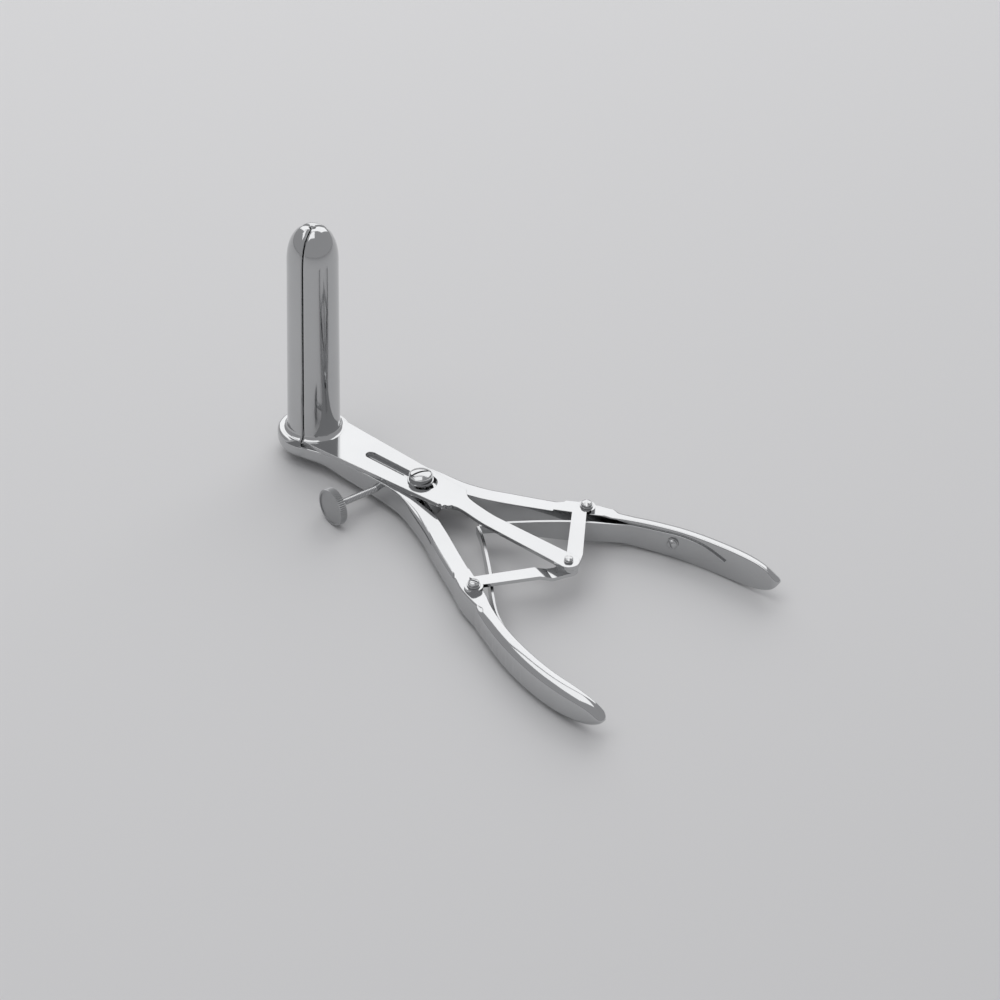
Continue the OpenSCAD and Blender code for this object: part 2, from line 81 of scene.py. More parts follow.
# Levers
LOBE = 8.4
LAP = 9.3
LAP_GAP = 0.03
ARM_LOW = 4.2
PAD_TOP = 10.9
PAD_FROM, PAD_TO = 45.2, 61.8
REACH = 131.0
BOW_X, BOW_Y = 119.512, -59.427
BOW_OUT = 115.8
BOW_IN = 110.0
BOW_FROM = 61.4


def camera_axes():
    right = Vector((math.cos(CAM_AZ), math.sin(CAM_AZ), 0))
    ahead = Vector((-math.sin(CAM_AZ) * math.cos(CAM_EL), math.cos(CAM_AZ) * math.cos(CAM_EL), -math.sin(CAM_EL)))
    up = right.cross(ahead)
    turned_right = right * math.cos(CAM_ROLL) + up * math.sin(CAM_ROLL)
    turned_up = up * math.cos(CAM_ROLL) - right * math.sin(CAM_ROLL)
    return turned_right, turned_up, ahead


def add_camera():
    right, up, ahead = camera_axes()
    data = bpy.data.cameras.new("camera")
    data.lens = CAM_LENS
    data.sensor_width = CAM_SENSOR
    data.clip_end = 20
    cam = bpy.data.objects.new("camera", data)
    rows = [(right[i], up[i], -ahead[i], CAM_PLACE[i]) for i in range(3)] + [(0, 0, 0, 1)]
    cam.matrix_world = Matrix(rows)
    bpy.context.scene.collection.objects.link(cam)
    bpy.context.scene.camera = cam


def add_lamp(name, direction, distance, size, radiance, aim):
    data = bpy.data.lights.new(name, "AREA")
    data.shape = "RECTANGLE"
    data.size, data.size_y = size
    # an area lamp of power P shines with radiance P / (pi * area)
    data.energy = radiance * math.pi * size[0] * size[1]
    lamp = bpy.data.objects.new(name, data)
    d = Vector(direction).normalized()
    lamp.location = aim + d * distance
    lamp.rotation_euler = d.to_track_quat("Z", "Y").to_euler()
    bpy.context.scene.collection.objects.link(lamp)


# ---- curves and small numeric helpers


def curve(points, steps=16):
    """Smooth line through the points, the same one as in part.scad but finer."""
    p = np.asarray(points, float)
    out = []
    for i in range(len(p) - 1):
        a, b, c, d = p[max(i - 1, 0)], p[i], p[i + 1], p[min(i + 2, len(p) - 1)]
        for k in range(steps):
            t = k / steps
            out.append(0.5 * (2 * b + (c - a) * t + (2 * a - 5 * b + 4 * c - d) * t * t
                              + (3 * b - a - 3 * c + d) * t * t * t))
    out.append(p[-1])
    return np.array(out)


def along(line, x):
    """Height of a line, given as points with rising X, at each x."""
    line = np.asarray(line)
    order = np.argsort(line[:, 0], kind="stable")
    return np.interp(x, line[order, 0], line[order, 1])


def ease(x, start, end):
    t = np.clip((np.asarray(x, float) - start) / (end - start), 0, 1)
    return t * t * (3 - 2 * t)


# ---- meshes


class Shell:
    """Collects closed shells of one piece, in millimetres."""

    def __init__(self):
        self.verts = []
        self.faces = []

    def add(self, verts, faces):
        start = len(self.verts)
        self.verts.extend(tuple(v) for v in verts)
        self.faces.extend([start + i for i in f] for f in faces)

    def tube(self, rings):
        rings = np.asarray(rings, float)
        n, m = rings.shape[:2]
        faces = []
        for i in range(n - 1):
            for j in range(m):
                k = (j + 1) % m
                faces.append([i * m + j, i * m + k, (i + 1) * m + k, (i + 1) * m + j])
        faces.append(list(range(m - 1, -1, -1)))
        faces.append([(n - 1) * m + j for j in range(m)])
        self.add(rings.reshape(-1, 3), faces)

    def mirrored(self):
        other = Shell()
        other.add([(x, -y, z) for x, y, z in self.verts], [f[::-1] for f in self.faces])
        return other

    def mesh(self, name):
        mesh = bpy.data.meshes.new(name)
        co = (np.array(self.verts) + (PIVOT_X, 0, LIFT)) * MM
        mesh.from_pydata([tuple(v) for v in co], [], self.faces)
        work = bmesh.new()
        work.from_mesh(mesh)
        bmesh.ops.recalc_face_normals(work, faces=work.faces)
        work.to_mesh(mesh)
        work.free()
        return mesh


def loose_object(name, mesh):
    obj = bpy.data.objects.new(name, mesh)
    bpy.context.scene.collection.objects.link(obj)
    return obj


def cut(mesh, cutter, operation="DIFFERENCE"):
    """The mesh after a boolean with the cutter shell."""
    target = loose_object("cut_target", mesh)
    tool = loose_object("cut_tool", cutter.mesh("cut_tool"))
    mod = target.modifiers.new("cut", "BOOLEAN")
    mod.operation = operation
    mod.object = tool
    mod.solver = "EXACT"
    graph = bpy.context.evaluated_depsgraph_get()
    made = bpy.data.meshes.new_from_object(target.evaluated_get(graph))
    bpy.data.objects.remove(target)
    bpy.data.objects.remove(tool)
    return made


def join(name, meshes):
    work = bmesh.new()
    for mesh in meshes:
        work.from_mesh(mesh)
    made = bpy.data.meshes.new(name)
    work.to_mesh(made)
    work.free()
    return made


def add_piece(name, mesh, mat, body, slot, *replaced, sharp=40):
    mesh.name = name
    mesh.materials.clear()
    mesh.materials.append(mat)
    mesh.polygons.foreach_set("material_index", [0] * len(mesh.polygons))
    mesh.polygons.foreach_set("use_smooth", [True] * len(mesh.polygons))
    mesh.set_sharp_from_angle(angle=math.radians(sharp))
    obj = loose_object(name, mesh)
    mod = obj.modifiers.new("weighted", "WEIGHTED_NORMAL")
    mod.keep_sharp = True
    mod.weight = 50
    if body:
        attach(obj, body)
    if replaced:
        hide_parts(*replaced)
    return obj


def prism(outline, low, high):
    shell = Shell()
    shell.tube([[(x, y, z) for x, y in outline] for z in (low, high)])
    return shell


def disc(cx, cy, radius, low, high, bevel=0.0, steps=96):
    a = np.arange(steps) * 2 * math.pi / steps
    shell = Shell()
    levels = [(radius - bevel, low), (radius, low + bevel), (radius, high - bevel), (radius - bevel, high)]
    if not bevel:
        levels = [(radius, low), (radius, high)]
    shell.tube([[(cx + r * math.cos(t), cy + r * math.sin(t), z) for t in a] for r, z in levels])
    return shell


# ---- levers


def lever_lines(x):
    """Plan and side limits of the far lever's arm and handle at each x."""
    outer = curve([(-52, 13.2), (-49, 12.6), (-46, 11.7), (-42.5, 10.7), (-38, 10), (-32, 9.6), (-26, 9.4), (-14, 9.6), (-4, 10.4), (1, 11.6), (6, 13.4), (17, 18.2),
                   (25.5, 23), (36, 28.6), (44.5, 33), (51.5, 37), (BOW_FROM, 40.5)])
    inner = curve([(4, 3.4), (9, 6.2), (16, 9.2), (26, 14.2), (40, 22), (55.8, 30.6), (63.4, 35.2)])
    y_out = along(outer, x)
    y_in = np.where(x < 4, np.maximum(0.15, 3.4 * x / 4), along(inner, x))
    bow = x > BOW_FROM
    y_out = np.where(bow, BOW_Y + np.sqrt(np.maximum(BOW_OUT ** 2 - (x - BOW_X) ** 2, 0)), y_out)
    y_in = np.where(x > 63.4, BOW_Y + np.sqrt(np.maximum(BOW_IN ** 2 - (x - BOW_X) ** 2, 0)), y_in)
    # the handle grows thinner towards its end, which is round in plan
    half = (BOW_OUT - BOW_IN) / 2
    thinner = 0.75 * ease(x, 112, REACH - 2)
    y_out = np.where(x > 110, y_out - thinner, y_out)
    y_in = np.where(x > 110, y_in + thinner, y_in)
    half = half - 0.75
    end_x = REACH - half
    end_y = BOW_Y + math.sqrt((BOW_OUT + BOW_IN) ** 2 / 4 - (end_x - BOW_X) ** 2)
    spread = np.sqrt(np.maximum(half ** 2 - (x - end_x) ** 2, 0.0004))
    y_out = np.where(x > end_x, end_y + spread, y_out)
    y_in = np.where(x > end_x, end_y - spread, y_in)
    arm = curve([(-60, PLATE_LOW), (-8, PLATE_LOW), (-3, 14.33), (2, 14), (6, 13.45), (10, 12.8), (14, 12.2),
                 (18, 11.7), (22, 11.25), (34, 10.5), (PAD_FROM, 10.15)])
    rear = curve([(PAD_TO, 10.35), (80, 10.1), (90, 10), (104, 9.5), (112, 9.3), (118, 9), (122.5, 8.4), (126, 7.4),
                  (128.6, 6), (130.3, 4.6), (131, 3.5)])
    top = np.where(x > 53.5, along(rear, x), along(arm, x))
    rise = ease(x, PAD_FROM - 0.25, PAD_FROM) * (1 - ease(x, PAD_TO - 0.5, PAD_TO + 2.5))
    top = top * (1 - rise) + PAD_TOP * rise
    low = along(curve([(-52, 8.4), (-48, 8), (-34, 6.7), (-20, 5.6), (0, ARM_LOW), (20, 2.8), (40, 1.4), (60, -0.4),
                       (77, -2.15), (90, -3.2), (104, -3.9), (112, -3.9), (119, -3.4), (124, -2.4), (127.5, -0.8),
                       (129.9, 1.3), (131, 3.3)]), x)
    return y_in, y_out, low, top


def groove_depth(x):
    depth = np.zeros_like(x)
    for middle in np.arange(66, 94, 4.4):
        depth = np.maximum(depth, np.sqrt(np.maximum(12.25 - (x - middle) ** 2, 0)) - 3.27)
    return depth


def lever_rings():
    x = np.concatenate([np.arange(-51.5, 8.8, 0.75), np.linspace(8.8, 9.4, 7), np.arange(9.8, 44.8, 0.7),
                        np.linspace(44.85, 45.3, 6), np.arange(46, 61.6, 0.7), np.linspace(61.75, 62.2, 6),
                        np.arange(62.8, 74, 0.7), np.arange(74, 104, 0.25), np.arange(104, 126.5, 0.6),
                        REACH - 4.5 * np.cos(np.linspace(0, math.pi / 2, 26)[:-1]), [REACH - 0.004]])
    x = np.unique(np.round(x, 4))
    y_in, y_out, low, top = lever_lines(x)
    handle = ease(x, 58, 72)
    arm = ease(x, -2, 12)
    bowl = 1 - ease(x, -47, -28)
    thick = y_out - y_in
    half = np.maximum((top - low) / 2, 0.02)
    flat = ease(x, PAD_FROM - 3, PAD_FROM - 0.5) * (1 - ease(x, PAD_TO - 0.5, PAD_TO + 3))
    top_y = np.minimum(0.4 + (2.3 * arm + 1.0 * handle) * (1 - 0.75 * flat), 0.62 * thick)
    top_z = np.minimum(0.4 + (1.7 * arm + 1.4 * handle) * (1 - 0.6 * flat), 0.85 * half)
    low_y = np.minimum(1.2 + 2.6 * bowl + 2.2 * handle, 0.6 * thick)
    low_z = np.minimum(1.4 + 2.9 * bowl + 2.0 * handle, 0.85 * half)
    crown = np.minimum(0.05 + 0.75 * handle, 0.15 * thick)
    edge = np.minimum(np.minimum(0.3 + 0.35 * handle, 0.4 * half), 0.25 * thick)
    groove = groove_depth(x)
    turn = np.linspace(0, math.pi / 2, 12)
    fine = np.linspace(0, math.pi / 2, 5)
    rings = []
    for i in range(len(x)):
        mid = (top[i] + low[i]) / 2
        e = edge[i]
        out = []
        for t in turn:
            out.append((y_out[i] - low_y[i] + low_y[i] * math.sin(t), low[i] + low_z[i] - low_z[i] * math.cos(t)))
        for k in range(1, 12):
            out.append((y_out[i], low[i] + low_z[i] + (top[i] - low[i] - low_z[i] - top_z[i]) * k / 12))
        for t in turn[::-1]:
            out.append((y_out[i] - top_y[i] + top_y[i] * math.sin(t), top[i] - top_z[i] + top_z[i] * math.cos(t)))
        face = []
        for y, z in out:
            away = (z - mid) / half[i]
            y -= crown[i] * away * away
            face.append((min(y, y_out[i] - groove[i]), z))
        for t in fine:
            face.append((y_in[i] + e - e * math.sin(t), top[i] - e + e * math.cos(t)))
        for k in range(1, 5):
            face.append((y_in[i], top[i] - e + (low[i] - top[i] + 2 * e) * k / 5))
        for t in fine[::-1]:
            face.append((y_in[i] + e - e * math.sin(t), low[i] + e - e * math.cos(t)))
        rings.append([(x[i], y, z) for y, z in face])
    return rings


def sector(section, start, end, steps=90):
    """Closed (r, z) section turned round the blade axis between two planes, half a gap away from each."""
    rings = []
    for u in np.linspace(0, 1, steps):
        ring = []
        for r, z in section:
            off = math.asin(min(1, HALF_GAP / r))
            a = math.radians(start) + off
            b = math.radians(end) - off
            t = a + (b - a) * u
            ring.append((AXIS_X + r * math.cos(t), r * math.sin(t), z))
        rings.append(ring)
    shell = Shell()
    shell.tube(rings)
    return shell


def collar_ring(low, top, start, end, round_low, round_top):
    section = [(BORE + 0.3, low), ]
    for t in np.linspace(0, math.pi / 2, 9):
        section.append((COLLAR_RADIUS - round_low + round_low * math.sin(t), low + round_low - round_low * math.cos(t)))
    for t in np.linspace(math.pi / 2, 0, 6):
        section.append((COLLAR_RADIUS - round_top + round_top * math.sin(t), top - round_top + round_top * math.cos(t)))
    section += [(BORE + 0.15, top), (BORE, top - 0.15), (BORE, low + 0.3)]
    return sector(section, start, end)


def fade_rim(shell, start, width):
    """Draws the outer rim of a collar ring in where it meets the centre plate's side."""
    points = []
    for x, y, z in shell.verts:
        r = math.hypot(x - AXIS_X, y)
        angle = math.degrees(math.atan2(abs(y), x - AXIS_X))
        share = 1 - float(ease(angle, start, start + width))
        most = COLLAR_RADIUS - 2.6 * share
        if r > most:
            x, y = AXIS_X + (x - AXIS_X) * most / r, y * most / r
        points.append((x, y, z))
    shell.verts = points
    return shell


def petal(start, end, foot_z):
    """One blade: a curved wall with a dome, rounded along its split edges and at its tip."""
    fillet = 2.1
    out, inn = [], []
    for t in np.linspace(0.12, math.pi / 2, 9):
        out.append((BLADE_RADIUS + fillet * (1 - math.sin(t)), PLATE_TOP + fillet - fillet * math.cos(t) + 0.02))
    dome_low = BLADE_TOP - DOME
    for z in np.linspace(PLATE_TOP + fillet + 1.5, dome_low, 24):
        share = (z - PLATE_TOP) / (dome_low - PLATE_TOP)
        out.append((BLADE_RADIUS - BLADE_TAPER * share, z))
    top_radius = BLADE_RADIUS - BLADE_TAPER
    tip = 0.9
    # a little blunter than an ellipse
    blunt = 2 / 2.3
    last = math.acos((tip / top_radius) ** (1 / blunt))
    for t in np.linspace(0, last, 40)[1:]:
        out.append((top_radius * math.cos(t) ** blunt, dome_low + DOME * math.sin(t) ** blunt))
    out = np.array(out)
    tangent = np.gradient(out, axis=0)
    tangent /= np.linalg.norm(tangent, axis=1)[:, None]
    normal = np.stack([tangent[:, 1], -tangent[:, 0]], axis=1)
    near_tip = np.clip(1 - (out[:, 0] - tip) / 2.6, 0, 1) * (out[:, 1] > dome_low)
    out[:, 1] -= 1.1 * (1 - np.sqrt(1 - near_tip ** 2)) * 0.9
    wall = np.full(len(out), BLADE_WALL)
    wall[:9] = np.maximum(BLADE_WALL, out[:9, 0] - BORE)
    inn = out - normal * wall[:, None]
    inn[:9, 0] = BORE
    inn[:9, 1] = out[:9, 1]
    inn[:, 0] = np.maximum(inn[:, 0], 0.55)
    foot_out = np.array([[out[0, 0], foot_z]])
    foot_in = np.array([[BORE, foot_z]])
    out = np.vstack([foot_out, out])
    inn = np.vstack([foot_in, inn])
    normal = np.vstack([[[0, 0]], normal])
    round_edge = 1.0 + 0.5 * ease(-out[:, 0], -8.5, -4) * (out[:, 1] > dome_low)
    round_edge = np.minimum(round_edge, 0.45 * out[:, 0])
    half = math.radians((end - start) / 2)
    rings = []
    quarter = np.linspace(0, math.pi / 2, 7)

    def ring_at(share, drop, side):
        points = []
        for k in range(len(out)):
            r = out[k, 0]
            depth = round_edge[k] * drop
            px, pz = out[k] - normal[k] * depth
            reach = HALF_GAP + round_edge[k] * share
            off = min(math.asin(min(1, reach / r)), half * 0.94)
            points.append((px, pz, off))
        for k in range(len(inn) - 1, -1, -1):
            r = inn[k, 0]
            reach = HALF_GAP + round_edge[k] * share
            off = min(math.asin(min(1, reach / r)), half * 0.94)
            points.append((r, inn[k, 1], off))
        return points

    for t in quarter:
        pts = ring_at(1 - math.cos(t), 1 - math.sin(t), 0)
        rings.append([(px, pz, math.radians(start) + off) for px, pz, off in pts])
    inner_pts = ring_at(1, 0, 0)
    steps = 48
    for u in np.linspace(0, 1, steps + 2)[1:-1]:
        rings.append([(px, pz, math.radians(start) + off + (2 * half - 2 * off) * u) for px, pz, off in inner_pts])
    for t in quarter[::-1]:
        pts = ring_at(1 - math.cos(t), 1 - math.sin(t), 0)
        rings.append([(px, pz, math.radians(end) - off) for px, pz, off in pts])
    shell = Shell()
    shell.tube([[(AXIS_X + r * math.cos(a), r * math.sin(a), z) for r, z, a in ring] for ring in rings])
    return shell


def lever_mesh(low_lap, name):
    arm = Shell()
    arm.tube(lever_rings())
    if low_lap:
        gone = disc(0, 0, LOBE + 0.15, LAP - LAP_GAP, 20)
        lobe = disc(0, 0, LOBE, ARM_LOW, LAP - LAP_GAP, 0.1)
    else:
        gone = disc(0, 0, LOBE + 0.15, 0, LAP + LAP_GAP)
        lobe = disc(0, 0, LOBE, LAP + LAP_GAP, PLATE_LOW, 0.1)
    bore = disc(0, 0, 1.95, 0, 20)
    foot = disc(0, 0, 3.35, 0, ARM_LOW + 1.25)
    body = cut(arm.mesh("arm"), gone)
    bores = [bore, foot] if low_lap else [bore]
    round_part = lobe.mesh("lobe")
    for hole in bores:
        body = cut(body, hole)
        round_part = cut(round_part, hole)
    if not low_lap:
        body = cut(body, foot)
    parts = [body, round_part]
    parts.append(collar_ring(COLLAR_LOW, PLATE_LOW - 0.02, 0, 180, 4.2, 0.05).mesh("ring"))
    rim = fade_rim(collar_ring(PLATE_LOW - 1.0, PLATE_TOP, SLIDE_HALF, 180, 0.05, 1.5), SLIDE_HALF, 30)
    parts.append(rim.mesh("rim"))
    parts.append(petal(SLIDE_HALF, 180, PLATE_LOW - 0.6).mesh("petal"))
    mesh = join(name, parts)
    return mesh


def mirror_mesh(mesh):
    mesh.transform(Matrix.Scale(-1, 4, Vector((0, 1, 0))))
    mesh.flip_normals()
    return mesh


# ---- flat plates with rounded rims


def signed_area(loop):
    x, y = loop[:, 0], loop[:, 1]
    return 0.5 * np.sum(x * np.roll(y, -1) - np.roll(x, -1) * y)


def inset(loop, distance):
    """Points of a closed loop moved to its left by the distance."""
    ahead = np.roll(loop, -1, axis=0) - loop
    ahead /= np.linalg.norm(ahead, axis=1)[:, None]
    behind = np.roll(ahead, 1, axis=0)
    left_a = np.stack([-ahead[:, 1], ahead[:, 0]], axis=1)
    left_b = np.stack([-behind[:, 1], behind[:, 0]], axis=1)
    middle = left_a + left_b
    scale = np.maximum(np.sum(middle * left_a, axis=1), 0.5)
    return loop + middle / scale[:, None] * distance


def inside(points, loop):
    x, y = points[:, 0][:, None], points[:, 1][:, None]
    x1, y1 = loop[:, 0][None], loop[:, 1][None]
    x2, y2 = np.roll(loop[:, 0], -1)[None], np.roll(loop[:, 1], -1)[None]
    crosses = (y1 > y) != (y2 > y)
    with np.errstate(divide="ignore", invalid="ignore"):
        at = x1 + (y - y1) * (x2 - x1) / (y2 - y1)
    return (np.sum(crosses & (x < at), axis=1) % 2) == 1


def plate(outer, holes, low, high, bevel, links=(), bend=None):
    """Plate with a rounded rim. links are pairs of outer points that the caps keep joined, for the bend."""
    loops = [outer if signed_area(outer) > 0 else outer[::-1]]
    loops += [h if signed_area(h) < 0 else h[::-1] for h in holes]
    shell = Shell()
    steps = 4
    verts, faces = [], []
    starts = []
    for loop in loops:
        n = len(loop)
        start = len(verts)
        starts.append(start)
        levels = []
        for k in range(steps + 1):
            t = math.pi / 2 * k / steps
            levels.append((bevel * (1 - math.sin(t)), high - bevel * (1 - math.cos(t))))
        for k in range(steps, -1, -1):
            t = math.pi / 2 * k / steps
            levels.append((bevel * (1 - math.sin(t)), low + bevel * (1 - math.cos(t))))
        for away, z in levels:
            moved = inset(loop, away)
            verts.extend((x, y, z) for x, y in moved)
        for k in range(len(levels) - 1):
            for i in range(n):
                j = (i + 1) % n
                a, b = start + k * n, start + (k + 1) * n
                faces.append([a + i, b + i, b + j, a + j])
    flat = []
    for loop in loops:
        flat.extend(inset(loop, bevel))
    flat = np.array(flat)
    edges, top_index, low_index = [], [], []
    count = 0
    for loop, start in zip(loops, starts):
        n = len(loop)
        edges.extend((count + i, count + (i + 1) % n) for i in range(n))
        top_index.extend(start + i for i in range(n))
        low_index.extend(start + (2 * steps + 1) * n + i for i in range(n))
        count += n
    edges.extend(links)
    got = delaunay_2d_cdt([Vector(p) for p in flat], edges, [], 0, 1e-7)
    points = np.array([tuple(p) for p in got[0]])
    source = [s[0] for s in got[3]]
    tri = np.array(got[2])
    centre = points[tri].mean(axis=1)
    cap_loops, at = [], 0
    for loop in loops:
        cap_loops.append(flat[at:at + len(loop)])
        at += len(loop)
    keep = inside(centre, cap_loops[0])
    for hole in cap_loops[1:]:
        keep &= ~inside(centre, hole)
    for t in tri[keep]:
        faces.append([top_index[source[i]] for i in t])
        faces.append([low_index[source[i]] for i in t[::-1]])
    if bend:
        verts = [(x, y, z + bend(x)) for x, y, z in verts]
    shell.add(verts, faces)
    return shell


def arc(cx, cy, radius, start, end, steps):
    t = np.radians(np.linspace(start, end, steps + 1))
    return [(cx + radius * math.cos(a), cy + radius * math.sin(a)) for a in t]


def slide_mesh():
    tail_x, tail_r = 72.2, 4.2
    side = [(-51.46, 10.75), (-45, 10.6), (-37, 10.14), (-26, 9.5), (-14, 8.82), (-4, 8.26), (6, 7.7), (12, 7.36)]
    xs = np.arange(13, 17.01, 0.5)
    side += [(x, 7.1 + (17 - x) * 0.056) for x in xs]
    neck = curve([(17, 7.1), (18.4, 5.5), (20.5, 3.95), (24, 3.35), (30, 3.3), (36, 3.38)], 8)[1:]
    side += [tuple(p) for p in neck]
    side += [(x, 3.38 + (x - 36) * 0.019) for x in np.arange(38, 69, 2.0)]
    side += [(69.4, 4.15)]
    tail = arc(tail_x, 0, tail_r, 102, -102, 24)[1:-1]
    tail = arc(tail_x, 0, tail_r, 100, -100, 26)
    side = np.array(side)
    near = side[::-1] * (1, -1)
    wedge = math.radians(SLIDE_HALF)
    off = HALF_GAP / math.sin(wedge)
    corner = (AXIS_X + off + 10.75 / math.tan(wedge), 10.75)
    side[0] = corner
    near[-1] = (corner[0], -corner[1])
    bore = arc(AXIS_X, 0, BORE, -SLIDE_HALF + 1.0, SLIDE_HALF - 1.0, 40)
    upper = list(map(tuple, side))
    lower = list(map(tuple, near))
    outer = np.array(upper + tail + lower + bore)
    n_up = len(upper)
    pairs = []
    for i in range(1, n_up):
        j = n_up + len(tail) + (n_up - 1 - i)
        if 14 <= upper[i][0] <= 66:
            pairs.append((i, j))
    if signed_area(outer) < 0:
        n = len(outer)
        outer = outer[::-1]
        pairs = [(n - 1 - i, n - 1 - j) for i, j in pairs]
    slot_r = 1.95
    key_x, key_r = 1.6, 5.2
    meet = math.degrees(math.asin(slot_r / key_r))
    slot = arc(key_x, 0, key_r, -(180 - meet), 180 - meet, 60) + arc(-25.3, 0, slot_r, 90, 270, 20)
    pin = arc(tail_x, 0, 0.8, 0, 360, 24)[:-1]

    def bend(x):
        return -2.0 * float(ease(x, 17, 36))

    body = plate(outer, [np.array(slot), np.array(pin)], PLATE_LOW, PLATE_TOP, 0.22, pairs, bend)
    # three scallops on the near shoulder
    mesh = body.mesh("plate")
    for cx, cy in ((15.6, -7.5), (17.8, -6.6), (19.7, -5.0)):
        mesh = cut(mesh, disc(cx, cy, 0.85, 10, 20, steps=32))
    return join("centre_slide", [mesh, petal(-SLIDE_HALF, SLIDE_HALF, PLATE_TOP - 0.8).mesh("petal")])


# ---- springs


def spring_mesh(lift_x, bent):
    """A leaf that lies on the handle's inner face, lifts off at lift_x and follows bent to the middle."""
    outer_r = BOW_IN - 0.05
    lift = math.asin((lift_x - BOW_X) / outer_r)
    last = math.asin((108.2 - BOW_X) / outer_r)
    on_wall = [(BOW_X + outer_r * math.sin(a), BOW_Y + outer_r * math.cos(a)) for a in np.linspace(last, lift, 60)]
    free = curve([on_wall[-1]] + bent, 14)
    path = np.array(on_wall + [tuple(p) for p in free[1:]])
    # ease the corner where the leaf leaves the handle
    for _ in range(6):
        path[40:80] = 0.25 * path[39:79] + 0.5 * path[40:80] + 0.25 * path[41:81]
    leaf = 0.8 + 0.45 * (1 - ease(path[:, 0], 54, 70))
    upper = curve([(20, 8.4), (34, 8.9), (44, 10), (51, 10.5), (58, 10.1), (67, 8.9), (73, 8.6), (81, 8.4), (90, 8.5),
                   (98.5, 7.4), (106, 4.8), (108.2, 3.9)])
    lower = curve([(20, 5.6), (34, 4.6), (50, 2.4), (66, 0.6), (80, -0.4), (90, -0.5), (98.5, 0.7), (105.6, 2.8),
                   (108.2, 3.7)])
    tangent = np.gradient(path, axis=0)
    tangent /= np.linalg.norm(tangent, axis=1)[:, None]
    normal = np.stack([-tangent[:, 1], tangent[:, 0]], axis=1)
    top = along(upper, path[:, 0])
    low = along(lower, path[:, 0])
    rings = []
    e = 0.13
    for i, thick in enumerate(leaf):
        ring = []
        room = (top[i] - low[i]) / 2
        ez = min(e, room * 0.45)
        for cx, cz, a0 in ((thick - e, 1, 0), (e, 1, 90), (e, -1, 180), (thick - e, -1, 270)):
            for a in np.radians(np.linspace(a0, a0 + 90, 4)):
                across = cx + e * math.cos(a)
                z = (top[i] - ez if cz > 0 else low[i] + ez) + ez * math.sin(a)
                p = path[i] + normal[i] * across
                ring.append((p[0], p[1], z))
        rings.append(ring)
    shell = Shell()
    shell.tube(rings)
    mesh = shell.mesh("spring")
    return mesh


# ---- screws


def turned(profile, steps=64):
    """Solid of revolution about Z from (r, z) points that start and end on the axis."""
    shell = Shell()
    rings = [[(r * math.cos(t), r * math.sin(t), z) for t in np.arange(steps) * 2 * math.pi / steps]
             for r, z in profile[1:-1]]
    shell.tube(rings)
    return shell


def rounded_head(radius, straight, rise, rim=0.25, seat=0.0):
    """(r, z) points of a domed screw head with a softened rim, from its seat up to the middle."""
    points = [(radius - rim, seat), (radius, seat + rim)]
    ball = (radius * radius + rise * rise) / (2 * rise)
    for t in np.linspace(0, math.pi / 2, 6):
        points.append((radius - rim + rim * math.cos(t), seat + straight - rim + rim * math.sin(t)))
    for r in np.linspace(radius - rim, 0.06, 14)[1:]:
        points.append((r, seat + straight + math.sqrt(ball * ball - r * r) - (ball - rise)))
    return points


def slotted(shell, radius, top, depth, width, angle, name):
    mesh = shell.mesh(name)
    tool = prism([(-radius - 1, -width / 2), (radius + 1, -width / 2), (radius + 1, width / 2), (-radius - 1, width / 2)],
                 top - depth, top + 2)
    turn = math.radians(angle)
    tool.verts = [(x * math.cos(turn) - y * math.sin(turn), x * math.sin(turn) + y * math.cos(turn), z)
                  for x, y, z in tool.verts]
    return cut(mesh, tool)


def moved(mesh, matrix):
    """Carries a mesh made at the pivot's own place by a matrix in millimetres."""
    home = Matrix.Translation(Vector((PIVOT_X, 0, LIFT)) * MM)
    matrix = Matrix(matrix)
    matrix.translation = matrix.translation * MM
    mesh.transform(home @ matrix @ home.inverted())
    return mesh


